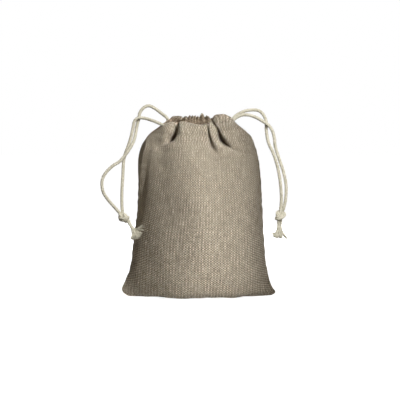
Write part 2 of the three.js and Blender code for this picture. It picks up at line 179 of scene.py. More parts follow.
# The seeds of each panel's random draws.
CLOTH_SEEDS = {FRONT: 3, BACK: 8}

# How far the cloth stands out along each side seam, by the height on it, and how that falls away.
SEAM_RIM = {
    LEFT: [(0, 0), (40, 0.6), (80, 1.6), (120, 2.4), (150, 2.5), (162, 2.2), (172, 0.8), (180, 0)],
    RIGHT: [(0, 0), (40, 0.6), (100, 1.1), (150, 1.3), (164, 0.9), (174, 0.2), (180, 0)],
}
RIM_SHAPE = {
    FRONT: [(0, 1), (4, 0.5), (8, 0), (11, -0.27), (14, -0.18), (18, 0), (20, 0)],
    BACK: [(0, 1), (1.5, 0.75), (3, 0.3), (5, 0), (7, 0)],
}
SEAM_GROOVE_REACH = 1.5
# Puckers beside the side seams: waves of growing pitch laid over each other.
PUCKERS = 9
PUCKER_PITCH = 7
PUCKER_PITCH_GROWTH = 1.3
PUCKER_DEPTH = 0.8
PUCKER_REACH = 9
# Ripples above the bottom seam, and the groove and small tugs at the casing's stitches.
RIPPLE_DEPTH = 0.25
RIPPLE_HEIGHT = 6
STITCH_GROOVE = 0.16
STITCH_GROOVE_REACH = 1.4
STITCH_TUG = 0.1
# Columns are spaced by the way over the folds, in this share, and otherwise by the way past them.
OVER_FOLDS = 0.75
# A step up in the casing's weave is the height gained, or this share of the way along the cloth if larger.
LEAST_RISE = 0.6
FLOOR_CLEARANCE = 0.15

# The drawcords. A twisted cord turns once in its lay, and is swollen by a ratio, so that its ridges and
# hollows average the radius. The runs lie in the casings at two heights.
CORD_RADIUS = 1.5
CORD_SWELL = 1.1
CORD_LAY = 8.0
STRAND_STEP = 0.5
RUN_STEP = 0.6
UPPER_RUN = 168.0
LOWER_RUN = 164.8
RUN_INSET = 3.8
RUN_BLEND = 9
# The ends of the runs follow the lips of the solids: half length, and half depth by the height.
LIP_HALF_LENGTH = 30.3
LIP_SPAN = 51.5
LIP_CURVE = 0.55
LIP_FACE = [(158, 21.5), (163, 19), (168, 15.8), (172, 12.5), (176, 9.5), (182, 7)]
# The bend of each drawcord across the slit that it doesn't leave through: slit, height, reach, lift.
BRIDGES = {
    "left_cord": (RIGHT, UPPER_RUN, 6.8, 0.3),
    "right_cord": (LEFT, LOWER_RUN, 8, 0),
}

# The photograph: millimetres for each pixel, and the pixel where the middle of the base lies.
PIXEL = 0.98
PHOTO_MIDDLE = (199.0, 298.0)
PHOTO_SIZE = 400.0
CAMERA_DISTANCE = 1500.0
CAMERA_ELEVATION = 3.0
SENSOR = 36.0

# The UV map, with places in the weave, and round and along each cord.
YARN_MAP = "cloth"


def table(rows, at):
    """The value at a position, or at many, of a smooth curve through rows of (position, value)."""
    places, values = np.array(rows, float).T
    slopes = np.gradient(values, places)
    at = np.clip(at, places[0], places[-1])
    i = np.clip(np.searchsorted(places, at) - 1, 0, len(places) - 2)
    span = places[i + 1] - places[i]
    t = (at - places[i]) / span
    start = values[i] * (1 + 2 * t) * (1 - t) ** 2 + slopes[i] * span * t * (1 - t) ** 2
    return start + values[i + 1] * t * t * (3 - 2 * t) + slopes[i + 1] * span * t * t * (t - 1)


def ramp(value, low, high):
    """0 up to low, 1 from high on, and smooth between them."""
    t = np.clip((value - low) / (high - low), 0, 1)
    return t * t * (3 - 2 * t)


def swelling(x, z, place, height, across, up, amount):
    """A round swelling about a place on the front or back, or a hollow where the amount is negative."""
    return amount * np.exp(-((x - place) / across) ** 2 - ((z - height) / up) ** 2)


def hump(offset):
    """1 in the middle, 0 from a distance of 1 on, and a half wave of the cosine between."""
    return 0.5 + 0.5 * np.cos(math.pi * np.minimum(np.abs(offset), 1))


def spline(points, step):
    """Points a step apart on a smooth curve through the given points."""
    p = np.array(points, float)
    padded = np.vstack([2 * p[0] - p[1], p, 2 * p[-1] - p[-2]])
    dense = []
    for a, b, c, d in zip(padded, padded[1:], padded[2:], padded[3:]):
        count = max(4, int(np.linalg.norm(c - b) / 0.2))
        t = np.linspace(0, 1, count, endpoint=False)[:, None]
        dense.append(0.5 * (2 * b + (c - a) * t + (2 * a - 5 * b + 4 * c - d) * t ** 2
                            + (3 * b - a - 3 * c + d) * t ** 3))
    line = np.vstack(dense + [p[-1:]])
    return resample(line, max(2, int(round(length_of(line) / step)) + 1))


def length_of(line):
    return float(np.linalg.norm(np.diff(line, axis=0), axis=1).sum())


def distances(lines):
    """How far along its line each point lies, for one line or many."""
    steps = np.linalg.norm(np.diff(lines, axis=-2), axis=-1)
    return np.concatenate([0 * steps[..., :1], np.cumsum(steps, axis=-1)], axis=-1)


def along_line(line, walked, at):
    """The points of a line at given distances, from the distances of its own points."""
    return np.stack([np.interp(at, walked, line[:, k]) for k in range(3)], axis=1)


def resample(line, count):
    walked = distances(line)
    return along_line(line, walked, np.linspace(0, walked[-1], count))


def unit(vectors):
    return vectors / np.maximum(np.linalg.norm(vectors, axis=-1, keepdims=True), 1e-9)


def stand(made, azimuth, elevation, distance, aim):
    """Put a camera or a light where it looks at its aim, from degrees round from the front and up."""
    turn = math.radians(azimuth)
    rise = math.radians(elevation)
    out = Vector((math.sin(turn) * math.cos(rise), -math.cos(turn) * math.cos(rise), math.sin(rise)))
    made.location = Vector(aim) + out * distance
    made.rotation_mode = "QUATERNION"
    made.rotation_quaternion = out.to_track_quat("Z", "Y")
    bpy.context.scene.collection.objects.link(made)


def make_camera():
    """At the photograph's angle: a little above the bag and far away, with the photograph's frame."""
    half = PHOTO_SIZE / 2
    aim = Vector(((half - PHOTO_MIDDLE[0]) * PIXEL, 0, (PHOTO_MIDDLE[1] - half) * PIXEL)) * MM
    data = bpy.data.cameras.new("camera")
    data.sensor_width = SENSOR
    data.lens = SENSOR * CAMERA_DISTANCE / (PHOTO_SIZE * PIXEL)
    camera = bpy.data.objects.new("camera", data)
    stand(camera, 0, CAMERA_ELEVATION, CAMERA_DISTANCE * MM, aim)
    bpy.context.scene.camera = camera


def make_mesh(name, points, faces, uvs, material):
    """A smooth-shaded mesh object from points in millimetres, with a UV pair for each point or none."""
    mesh = bpy.data.meshes.new(name)
    mesh.from_pydata((np.asarray(points) * MM).tolist(), [], [list(map(int, f)) for f in faces])
    mesh.polygons.foreach_set("use_smooth", [True] * len(mesh.polygons))
    if uvs is not None:
        corners = np.zeros(len(mesh.loops), int)
        mesh.loops.foreach_get("vertex_index", corners)
        layer = mesh.uv_layers.new(name=YARN_MAP)
        layer.data.foreach_set("uv", (np.asarray(uvs)[corners] * MM).astype(np.float32).ravel())
    mesh.update()
    mesh.materials.append(material)
    made = bpy.data.objects.new(name, mesh)
    bpy.context.scene.collection.objects.link(made)
    return made


def grid_faces(rows, columns, flip=False, closed=False):
    faces = []
    for r in range(rows - 1):
        for c in range(columns if closed else columns - 1):
            a = r * columns + c
            b = r * columns + (c + 1) % columns
            face = (a, b, b + columns, a + columns)
            faces.append(face[::-1] if flip else face)
    return faces


def joined(parts):
    """The points, faces and UV pairs of several parts, as those of one mesh."""
    points, faces, uvs = [], [], []
    for part_points, part_faces, part_uvs in parts:
        faces += [tuple(i + len(points) for i in face) for face in part_faces]
        points += part_points.tolist()
        uvs += part_uvs.tolist()
    return points, faces, uvs


def thicken(made, thickness, offset):
    solid = made.modifiers.new("thickness", "SOLIDIFY")
    solid.thickness = thickness * MM
    solid.offset = offset


class Cloth:
    """One panel with its casing and hem, as a height field over the smooth shape of the filled bag."""

    def __init__(self, side):
        self.side = side
        self.random = np.random.RandomState(CLOTH_SEEDS[side])
        line = spline([(d, 0, z) for d, z in MERIDIAN], 0.5)
        walked = np.linspace(0, length_of(line), len(line))
        scale = STITCH_LINE / walked[-1]
        self.mid_depth = lambda b: np.interp(b, walked * scale, line[:, 0])
        self.mid_height = lambda b: np.interp(b, walked * scale, line[:, 2])
        self.waves = [self.wave() for _ in range(WAVES)]
        self.folds = FRONT_FOLDS if side == FRONT else self.back_folds()

    def crest(self, x):
        height = table(CREST_HEIGHT[self.side], x)
        for place in RUFFLE_VALLEYS if self.side == BACK else []:
            height = height - RUFFLE_DIP * hump((x - place) / VALLEY_HALF_WIDTH)
        return height

    def wave(self):
        """One soft undulation of the cloth, longer up the bag than across it."""
        length = self.random.uniform(*WAVE_LENGTHS)
        turn = self.random.uniform(-WAVE_SLANT, WAVE_SLANT)
        size = WAVE_HEIGHT * length * self.random.uniform(0.3, 1)
        across = 2 * math.pi / length * math.cos(turn)
        up = 2 * math.pi / length * math.sin(turn)
        return across, up, size * WAVE_STRENGTH, self.random.uniform(0, 2 * math.pi)

    def half_width(self, z, share):
        """The distance of the bag's edge, blended from the left one to the right one."""
        left = table(LEFT_EDGE, z)
        right = table(RIGHT_EDGE, z)
        return (left + right) / 2 + (right - left) / 2 * share * (1.5 - 0.5 * share * share)

    def body(self, b, u):
        """The smooth surface below the stitch line."""
        share = np.sin(u * math.pi / 2)
        foot = np.where(u < 0, SEAM_FOOT[LEFT], SEAM_FOOT[RIGHT])
        seam = foot + (SEAM_TOP - foot) * b / STITCH_LINE
        middle = self.mid_height(b)
        z = middle + (seam - middle) * np.abs(share) ** 4
        shift = np.radians(np.where(u < 0, SEAM_TURN[LEFT], SEAM_TURN[RIGHT]))
        shift = shift * ramp(b, *TURN_GROWS) * (1 - ramp(b, *TURN_FADES))
        turn = u * (math.pi / 2 + self.side * shift)
        cosine = np.cos(turn)
        lens = np.sign(cosine) * np.abs(cosine) ** table(POINTEDNESS, z)
        low = 1 - ramp(b, *DEPTH_BLEND)
        depth = low * self.mid_depth(b) + (1 - low) * table(HALF_DEPTH, z)
        x = self.half_width(z, share) * np.sin(turn)
        return np.stack([x, self.side * (HALF_GAP + depth * lens), z], axis=-1)

    def casing(self, b, u):
        """The smooth surface of the casing, which rounds over from the stitch line to the crest."""
        foot = self.body(np.full_like(b, STITCH_LINE), u)
        share = np.sin(u * math.pi / 2)
        lens = np.abs(np.cos(u * math.pi / 2)) ** CREST_POINTEDNESS
        top_x = CREST_HALF_LENGTH[self.side] * share
        top_y = self.side * (SLIT_OPENING + (CREST_DEPTH - SLIT_OPENING) * lens)
        t = (b - STITCH_LINE) / (CREST - STITCH_LINE)
        bend = CASING_ARC[self.side] * math.pi
        rise = np.sin(bend * t) / math.sin(bend)
        inward = 0.45 * t + 0.55 * (1 - np.cos(bend * t)) / (1 - math.cos(bend))
        straight = np.abs(share) ** 3
        rise = rise + (t - rise) * straight
        inward = inward + (t - inward) * straight
        top = np.stack([top_x, top_y, self.crest(top_x)], axis=-1)
        return foot + (top - foot) * np.stack([inward, inward, rise], axis=-1)

    def smooth(self, b, u):
        b, u = np.broadcast_arrays(b, u)
        low = self.body(np.minimum(b, STITCH_LINE), u)
        high = self.casing(np.maximum(b, STITCH_LINE), u)
        return np.where((b < STITCH_LINE)[..., None], low, high)

    def pleats(self, x, z, widen=0.0):
        """Depth of the folds at a point, and how far each pushes the cloth sideways."""
        depth = np.zeros_like(x)
        sideways = np.zeros_like(x)
        for fold in self.folds:
            offset = x - table(fold["place"], z)
            width = np.maximum(table(fold["width"], z), NARROWEST_FOLD)
            width = np.where(offset < 0, width * fold["flank"], width) + widen
            if fold.get("round"):
                shape = hump(offset / width)
            else:
                shape = 1 / (1 + (offset / width) ** 2) ** 2
            profile = np.maximum(table(fold["depth"], z), 0) * shape
            depth = depth + profile
            sideways = sideways + fold["lean"] * profile
        return depth, sideways

    def back_folds(self):
        """The folds of the gathered back: rounded ruffles, and pinched folds beside them."""
        folds = []
        for place, half in RUFFLES + PINCHES:
            ruffle = (place, half) in RUFFLES
            foot = self.random.uniform(*BACK_FOLD_FOOT)
            low = self.random.uniform(1.4, 2.6)
            top = 3.8 if ruffle else 2.2
            folds.append({
                "place": [(foot, place * BACK_FOLD_FAN[0]), (160, place * BACK_FOLD_FAN[1]), (176, place)],
                "depth": [(foot, 0), (158, low), (170, 2.8), (182, top)],
                "width": [(foot, 4), (158, half * 1.15), (170, half), (182, half)],
                "flank": 1 if ruffle else self.random.uniform(0.8, 1.3), "lean": 0, "round": ruffle,
            })
        return folds

    def run(self, height):
        """The way of a drawcord through the channel at a height, passing behind the folds."""
        rows = np.linspace(STITCH_LINE, CREST, 60)[:, None]
        surface = self.casing(rows, np.linspace(-0.85, 0.85, 171)[None, :])
        line = np.array([(np.interp(height, z, x), np.interp(height, z, y), height)
                         for x, y, z in surface.transpose(1, 2, 0)])
        depth, _ = self.pleats(line[:, 0], line[:, 2], widen=BEHIND_WIDER)
        line[:, 1] -= self.side * (RUN_INSET + depth)
        line = line[np.abs(line[:, 0]) < LIP_HALF_LENGTH]
        plain = np.array([run_point(self.side, x, height) for x in line[:, 0]])
        share = ramp(LIP_HALF_LENGTH - np.abs(line[:, 0]), 0, RUN_BLEND)[:, None]
        line = plain * (1 - share) + line * share
        start, end = (run_point(self.side, x, height) for x in (-LIP_HALF_LENGTH, LIP_HALF_LENGTH))
        return spline(np.vstack([start, line[3:-3:6], end]), RUN_STEP)

    def relief(self, b, u, base):
        """How far the cloth stands out from the smooth surface, and how far it is pushed sideways."""
        x = base[..., 0]
        z = base[..., 2]
        depth, sideways = self.pleats(x, z)
        out = -depth
        if self.side == FRONT:
            for row in FRONT_SWELLINGS:
                out = out + swelling(x, z, *row)
        s = u * FLAT_HALF_WIDTH
        calm = ramp(b, 2, 20) * (1 - 0.5 * ramp(b, 165, 185))
        for across, up, size, phase in self.waves:
            out = out + calm * size * np.cos(across * s + 0.5 * up * b + phase) * (1 - 0.6 * u ** 4)
        seam = FLAT_HALF_WIDTH * (1 - np.abs(u))
        sewn = 1 - ramp(b, STITCH_LINE - 2, STITCH_LINE + 2)
        out = out - sewn * np.exp(-(seam / SEAM_GROOVE_REACH) ** 2)
        rim = np.where(u < 0, table(SEAM_RIM[LEFT], b), table(SEAM_RIM[RIGHT], b))
        out = out + sewn * rim * table(RIM_SHAPE[self.side], seam)
        out = out + sewn * PUCKER_DEPTH * self.puckers(b, u) * np.exp(-(seam / PUCKER_REACH) ** 2)
        ripple = np.cos(s / 2.1 + 1.3 * np.sin(s / 9)) + 0.7 * np.cos(s / 3.3 + self.side)
        low = np.exp(-((b - RIPPLE_HEIGHT) / RIPPLE_HEIGHT) ** 2)
        out = out + RIPPLE_DEPTH * ripple * low * ramp(seam, 3, 14)
        stitched = np.exp(-((b - STITCH_LINE) / STITCH_GROOVE_REACH) ** 2)
        out = out - stitched * (STITCH_GROOVE + STITCH_TUG * np.cos(s * 2.1))
        return out, sideways

    def puckers(self, b, u):
        """The uneven waves of a sewn seam, from -1 to 1 along it and different on each side."""
        pucker = np.zeros_like(u)
        for k in range(PUCKERS):
            pitch = PUCKER_PITCH + PUCKER_PITCH_GROWTH * k
            wave = 2 * math.pi * b / pitch + 1.7 * k + self.side + np.sign(u) * k
            pucker = pucker + np.cos(wave) / PUCKERS
        return pucker

    def directions(self, b, u):
        """The direction along each row, and the one that the cloth's relief stands out in."""
        step = 0.05
        turn = step / 20
        along = self.smooth(b, np.minimum(u + turn, 1)) - self.smooth(b, np.maximum(u - turn, -1))
        upward = self.smooth(np.minimum(b + step, CREST), u) - self.smooth(np.maximum(b - step, 0), u)
        normal = unit(np.cross(unit(along), unit(upward))) * -self.side
        if self.side == BACK:
            level = ramp(b, *BACK_LEVEL)[..., None]
            normal = unit(normal * (1 - level) + np.array([0.0, 1.0, 0.0]) * level)
        return unit(along), normal

    def hem(self, b, base, out, follows):
        """How far the hem inside the casing stands out from the smooth surface: less than nothing."""
        behind, _ = self.pleats(base[..., 0], base[..., 2], widen=BEHIND_WIDER)
        hem = -table(HEM_DEPTH, b - STITCH_LINE) - behind
        hem = hem + follows * (out + behind)
        if self.side == BACK:
            hem = hem + swelling(base[..., 0], base[..., 2], *MOUTH_HOLLOW)
        return hem

    def weave(self, b, base, walked, measure, inside):
        """Places in the weave, across and up: crowded as the panel narrows, at true scale at the crest."""
        gathered = ramp(b, STITCH_LINE, CREST)
        across = (walked - walked[:, DENSE_COLUMNS // 2, None]) * gathered
        across = across + FLAT_HALF_WIDTH * (2 * measure - 1) * (1 - gathered)
        step = np.diff(base, axis=0)
        rise = np.maximum(np.abs(step[..., 2]), LEAST_RISE * np.linalg.norm(step, axis=2))
        above_stitches = np.vstack([0 * rise[:1], np.cumsum(rise * (b[:-1] >= STITCH_LINE), axis=0)])
        up = np.where(b < STITCH_LINE, b, STITCH_LINE + above_stitches)
        up = np.where(inside, CREST + (above_stitches - above_stitches[CREST_ROW]), up)
        return across, up

    def shape(self):
        """Points of the whole cloth, row by row with the hem's rows last, and their places in the weave."""
        below = np.linspace(0, STITCH_LINE, ROWS_BELOW + 1)[:-1]
        casing = np.linspace(STITCH_LINE, CREST, ROWS_CASING + 1)
        hem = CREST - np.linspace(0, HEM, ROWS_HEM + 1)[1:]
        b = np.concatenate([below, casing, hem])[:, None]
        u = np.linspace(-1, 1, DENSE_COLUMNS)[None, :]
        inside = np.arange(len(b))[:, None] > CREST_ROW
        base = self.smooth(b, u)
        along, normal = self.directions(b, u)
        out, sideways = self.relief(b, u, base)
        far, near = HEM_FOLLOWS[self.side]
        follows = ramp(b, CREST - far, CREST - near)
        out = np.where(inside, self.hem(b, base, out, follows), out)
        sideways = np.where(inside, follows * sideways, sideways)
        points = base + normal * out[..., None] + along * sideways[..., None]
        over = distances(points)
        past = distances(base)
        measure = OVER_FOLDS * over / over[:, -1:] + (1 - OVER_FOLDS) * past / past[:, -1:]
        across, up = self.weave(b, base, past, measure, inside)
        layers = np.concatenate([points, across[..., None], up[..., None]], axis=2)
        wanted = np.linspace(0, 1, COLUMNS + 1)
        grid = np.stack([
            np.stack([np.interp(wanted, measure[r], layers[r, :, k]) for k in range(5)], axis=1)
            for r in range(len(b))])
        grid[..., 2] = np.maximum(grid[..., 2], FLOOR_CLEARANCE)
        return grid[..., :3], grid[..., 3:]


def make_cloth(name, cloth, material):
    grid, weave = cloth.shape()
    faces = grid_faces(*grid.shape[:2], flip=cloth.side == BACK)
    made = make_mesh(name, grid.reshape(-1, 3), faces, weave.reshape(-1, 2), material)
    thicken(made, CLOTH_THICKNESS, offset=-1)
    return made, grid


def bend_with_lip(piece):
    """Bake a piece's placing into its mesh."""
    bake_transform(piece)


def frames_along(line, start=(0.3, 0.9, 0.2)):
    """Two directions across a line at each point, carried along it without twist."""
    tangents = unit(np.gradient(line, axis=0))
    across = np.array(start, float)
    first = []
    for tangent in tangents:
        across = across - tangent * (across @ tangent)
        across = across / np.linalg.norm(across)
        first.append(across)
    first = np.array(first)
    return first, np.cross(tangents, first)


def cord_mesh(line, radius, sides=18, plies=3, depth=0.07, taper=0.0):
    """Points, faces and UV pairs of a twisted cord along a line, closed at both ends."""
    first, second = frames_along(line)
    walked = distances(line)
    angles = np.linspace(0, 2 * math.pi, sides, endpoint=False)
    twist = 2 * math.pi * walked / CORD_LAY
    lobes = 1 - depth + depth * np.cos(plies * (angles[None, :] - twist[:, None]))
    thick = radius * lobes * (1 - taper * (walked / walked[-1])[:, None] ** 2)
    points = (line[:, None, :] + first[:, None, :] * (thick * np.cos(angles))[..., None]
              + second[:, None, :] * (thick * np.sin(angles))[..., None])
    points = points.reshape(-1, 3)
    faces = grid_faces(len(line), sides, closed=True)
    faces.append(tuple(range(sides))[::-1])
    faces.append(tuple(range(len(points) - sides, len(points))))
    uvs = np.stack(np.broadcast_arrays(angles[None, :] * radius, walked[:, None]), axis=-1)
    return points, faces, uvs.reshape(-1, 2)


def cotton_piece(name, parts, material):
    made = make_mesh(name, *joined(parts), material)
    return made


def make_cord(name, line, material):
    return cotton_piece(name, [cord_mesh(line, CORD_RADIUS * CORD_SWELL)], material)


def run_point(side, x, height):
    """A point of a cord in its channel, behind the face of the solids' lip."""
    face = HALF_GAP + table(LIP_FACE, height) * (1 - (x / LIP_SPAN) ** 2) ** LIP_CURVE
    return (x, side * (face - RUN_INSET), height)


def strand_start(slit, side, height):
    """The first two points of a strand, straight out of the casing."""
    x, y, z = run_point(side, LIP_HALF_LENGTH, height)
    return [(slit * x, y, z), (slit * (x + 1), y, z)]


# The routes of the free strands, from the slit over an arch and down to the knot.
STRANDS = {
    "left_front_strand": strand_start(LEFT, FRONT, UPPER_RUN) + [
        (-34.6, -7.4, 169.2), (-41.9, -5.8, 172.5), (-48, -4.4, 174.7), (-53.2, -3.5, 176.1),
        (-59.3, -3, 176.2), (-63, -3, 172.8), (-64.7, -3, 165), (-66.6, -3.2, 156.8), (-69.1, -3.6, 149),
        (-72, -4, 141.1), (-73.6, -4.8, 133.3), (-74.2, -6.5, 120.5), (-75, -8.5, 105.8), (-75, -10.5, 93.1),
        (-74.3, -12.2, 83.5)],
    "left_back_strand": strand_start(LEFT, BACK, UPPER_RUN) + [
        (-31.8, 7.4, 169.8), (-31, 5.4, 172.2), (-30.6, 4.2, 174.6), (-31.9, 3.5, 177), (-34.6, 3, 179.2),
        (-38.2, 2.6, 182), (-43.1, 2, 185.6), (-49, 1.5, 188.2), (-54.2, 1.2, 186.2), (-57.8, 1, 181.3),
        (-59, 0.8, 175), (-60.6, -0.5, 168.6), (-61.9, -2.2, 160.7), (-64, -4.5, 152.9), (-67.8, -7, 146),
        (-72, -8.2, 140), (-77, -9, 134.2), (-84.3, -10, 129.4), (-91, -11, 122.5), (-94.2, -11.5, 114.7),
        (-93.2, -12, 104.9), (-88.4, -12.5, 97), (-82.5, -12.8, 90.2), (-77.6, -13, 84.6)],
    "right_front_strand": strand_start(RIGHT, FRONT, LOWER_RUN) + [
        (33, -8.7, 164.8), (34.1, -6, 165.2), (33.2, -3.8, 167.4), (32.3, -2.8, 170.6), (33.4, -2.4, 174),
        (37, -2.3, 177), (41.5, -2.3, 179), (45.5, -2.4, 179.4), (50.5, -2.5, 178.7), (57.3, -2.9, 176),
        (62.9, -3.2, 172.6), (67.9, -3.4, 169.1), (71.7, -3.6, 163.5), (73.6, -4, 156), (74.2, -4.5, 149.5),
        (76.2, -5, 142.3), (79.2, -5.6, 133.5), (82.3, -6.2, 124.2), (84.9, -7, 110.7), (84.4, -7.6, 97),
        (82.2, -8.4, 87)],
    "right_back_strand": strand_start(RIGHT, BACK, LOWER_RUN) + [
        (33, 8.7, 164.8), (34.1, 6, 165.2), (33.2, 3.8, 167.4), (32.4, 2.4, 171), (33.2, 1.8, 175.2),
        (36.2, 1.6, 178.6), (40.4, 1.4, 181.2), (46.1, 1.3, 183.4), (52.3, 1.2, 184.2), (58, 1.2, 183.6),
        (61.9, 1.1, 180.8), (64.6, 1, 176.4), (65.8, 0.8, 171), (65.7, 0.2, 166), (66.3, -1, 160),
        (67.2, -2.2, 154.8), (68.9, -3, 149.7), (72.3, -4, 142.3), (74.9, -4.8, 134.8), (77.3, -5.5, 126),
        (79.4, -6.2, 113), (80.4, -7, 98), (79.6, -7.2, 87)],
}
# The cord ends below a knot: the stub's route, and fans of yarn as (first angle, last angle, reach, count).
# The angles are in degrees, as seen from the front, with 0 to the right and -90 straight down.
ENDS = {
    "left_front_end": {
        "route": [(-68.9, -16, 76.2), (-66.8, -16.9, 72.8), (-65, -17.6, 69.8)],
        "fans": [(-92, -56, 12.4, 74)]},
    "left_back_end": {
        "route": [(-68.5, -13.6, 76.6), (-66.4, -15.4, 72.8), (-64.2, -16.8, 69.4)],
        "fans": [(-70, -28, 11.4, 80), (6, 15, 11.4, 4), (-16, -8, 11, 5)]},
    "right_front_end": {
        "route": [(77.6, -9.6, 77.4), (77.4, -9.8, 72), (77, -9.9, 67.2)],
        "fans": [(-130, -72, 8.6, 120), (-152, -134, 8.8, 6)]},
    "right_back_end": {
        "route": [(79.7, -7.8, 77.4), (79.5, -7.6, 73.6), (79.4, -7.5, 70)],
        "fans": [(-98, -80, 11.4, 60), (-64, -59, 14, 8)]},
}
YARN_RADII = (0.26, 0.46)
YARN_SPREAD = 1.15
# The seeds of the front and the back end's random draws.
FRAY_SEEDS = (20, 21)
# The knots: ends of the axis, turn about it in degrees, and which way round each is tied.
KNOTS = {
    "left_knot": {"top": (-76.4, -12.4, 84.8), "foot": (-68.2, -14.6, 75.4), "turn": 300, "mirror": -1},
    "right_knot": {"top": (79.4, -7.9, 87), "foot": (77, -8.5, 76.8), "turn": 240, "mirror": 1},
}
KNOT_SLANT = 0.6
KNOT_SPACING = 3.2
KNOT_GAP = 0.85
KNOT_REACH = 5.2
KNOTTED_RADIUS = 1.45
KNOT_SIDES = 14
KNOT_LEAD = 0.8
# The stitches: length, pitch, height above the cloth along each, and the margin left at a row's ends.
STITCH_LENGTH = 2.2
STITCH_PITCH = 3.3
STITCH_ARCH = [-0.25, 0.08, 0.2, 0.2, 0.08, -0.25]
STITCH_MARGIN = 4
THREAD_RADIUS = 0.2
# The seam allowances inside the bag.
SEAM_INSET = 1.4
SEAM_WIDTH = 6.0
SIDE_SEAM_SPAN = (17.0, 154.0)
BOTTOM_SEAM_HALF = 65.0


def overhand(spacing, mirror):
    """The middle line of a tight overhand knot that runs down the Z axis: a loose one, drawn tight."""
    count = 96
    turns = 2500
    last_step = 0.42
    t = np.linspace(-2.2, 2.2, 90)
    line = np.stack([(t ** 3 - 3 * t) * 2.3, mirror * (t ** 4 - 4 * t ** 2 + 1.5) * 1.5,
                     -(t ** 5 - 10 * t) * 0.42], axis=1)
    top = np.array([0, 0, 15.0])
    line = resample(np.vstack([top, top * 0.8, line, -top * 0.8, -top]), count)
    place = np.arange(count)
    first_step = length_of(line) / (count - 1)
    for turn in range(turns):
        share = min(1, turn / (turns * 0.75))
        wanted = first_step + (last_step - first_step) * share
        step = np.diff(line, axis=0)
        long = np.linalg.norm(step, axis=1, keepdims=True)
        pull = step * (1 - wanted / np.maximum(long, 1e-6)) * 0.45
        line[:-1] += pull
        line[1:] -= pull
        line[1:-1] += 0.1 * ((line[:-2] + line[2:]) / 2 - line[1:-1])
        apart = line[:, None, :] - line[None, :, :]
        far = np.linalg.norm(apart, axis=2) + 1e-9
        near = np.abs(place[:, None] - place[None, :]) * wanted < 1.45 * spacing
        lack = np.where(near, 0, np.maximum(spacing - far, 0))
        line = line + (apart / far[..., None] * lack[..., None]).sum(1) * 0.18
        line[[0, -1], :2] = 0
        line[[1, -2], :2] *= 0.3
    bends = np.where(np.linalg.norm(line[:, :2], axis=1) > 0.6)[0]
    middle = (line[bends[0], 2] + line[bends[-1], 2]) / 2
    line[:, 2] -= middle
    return line[np.abs(line[:, 2]) < KNOT_REACH]


def make_knot(name, knot, strands, ends, material):
    """Both cords side by side through one overhand knot, from the strands to the cord ends."""
    line = overhand(KNOT_SPACING, knot["mirror"])
    top, foot = (np.array(knot[key], float) for key in ("top", "foot"))
    up = unit(top - foot)
    deep = unit(np.array([0, 1, 0]) - up * up[1])
    wide = np.cross(deep, up)
    turned = math.radians(knot["turn"])
    x = line[:, 0] * math.cos(turned) - line[:, 1] * math.sin(turned)
    y = line[:, 0] * math.sin(turned) + line[:, 1] * math.cos(turned)
    line = (top + foot) / 2 + x[:, None] * wide + y[:, None] * deep + line[:, 2:] * up
    beside, _ = frames_along(line, wide + KNOT_SLANT * deep)
    parts = []
    for k in range(2):
        strand = np.array(STRANDS[strands[k]][-2:], float)
        end = np.array(ENDS[ends[k]]["route"][:2], float)
        lead = strand[1] - unit(strand[1] - strand[0]) * KNOT_LEAD
        trail = end[0] + unit(end[1] - end[0]) * KNOT_LEAD
        twin = line + beside * KNOT_GAP * (k * 2 - 1)
        route = spline(np.vstack([lead, strand[1], twin[::3], end[0], trail]), STRAND_STEP)
        parts.append(cord_mesh(route, KNOTTED_RADIUS, KNOT_SIDES))
    return cotton_piece(name, parts, material)


def loose_yarn(random, root, along, beside, fan, k):
    """One yarn of a frayed end, from inside the stub out to its own tip."""
    first_angle, last_angle, reach, count = fan
    turn = random.uniform(0, 2 * math.pi)
    out = YARN_SPREAD * math.sqrt(random.uniform(0, 1))
    start = root + beside[0] * out * math.cos(turn) + beside[1] * out * math.sin(turn)
    degrees = first_angle + (last_angle - first_angle) * (k + random.uniform(0, 1)) / count
    angle = math.radians(degrees)
    far = reach * random.uniform(0.84, 1.03)
    tip = root + far * np.array([math.cos(angle), -0.2, math.sin(angle)])
    tip = tip + random.normal(0, 0.35, 3) * (1, 1.6, 1)
    bend = start + along * far * 0.42 + random.normal(0, 0.3, 3)
    t = np.linspace(0, 1, 14)[:, None]
    path = start * (1 - t) ** 2 + bend * 2 * t * (1 - t) + tip * t * t
    path = path + random.normal(0, 0.16, 3) * np.sin(t * random.uniform(6, 14) + turn)
    return cord_mesh(path, random.uniform(*YARN_RADII), sides=5, depth=0, taper=0.4)


def make_end(name, end, seed, material):
    """A short stub of cord that opens into fans of loose yarns."""
    random = np.random.RandomState(seed)
    line = spline(end["route"], STRAND_STEP)
    beside = [direction[-3] for direction in frames_along(line)]
    parts = [cord_mesh(line, CORD_RADIUS, KNOT_SIDES)]
    root = line[-3]
    along = unit(line[-1] - root)
    for fan in end["fans"]:
        parts += [loose_yarn(random, root, along, beside, fan, k) for k in range(fan[-1])]
    return cotton_piece(name, parts, material)


def make_stitches(name, grid, row, material):
    """Stitches of thread that follow one row of the cloth."""
    normals = unit(np.cross(np.gradient(grid, axis=1)[row], np.gradient(grid, axis=0)[row]))
    middle = grid.shape[1] // 2
    normals = normals * np.sign(normals[middle, 1] * grid[row][middle, 1])
    return stitch_along(name, grid[row], normals, material)


def stitch_along(name, line, normals, material):
    """A row of stitches along a line, on the side that the normals point to."""
    walked = distances(line)
    parts = []
    for start in np.arange(STITCH_MARGIN, walked[-1] - STITCH_MARGIN - STITCH_LENGTH, STITCH_PITCH):
        at = start + np.linspace(0, STITCH_LENGTH, len(STITCH_ARCH))
        arch = along_line(normals, walked, at) * np.array(STITCH_ARCH)[:, None]
        parts.append(cord_mesh(along_line(line, walked, at) + arch, THREAD_RADIUS, sides=6, depth=0))
    made = make_mesh(name, *joined(parts), material)
    return made


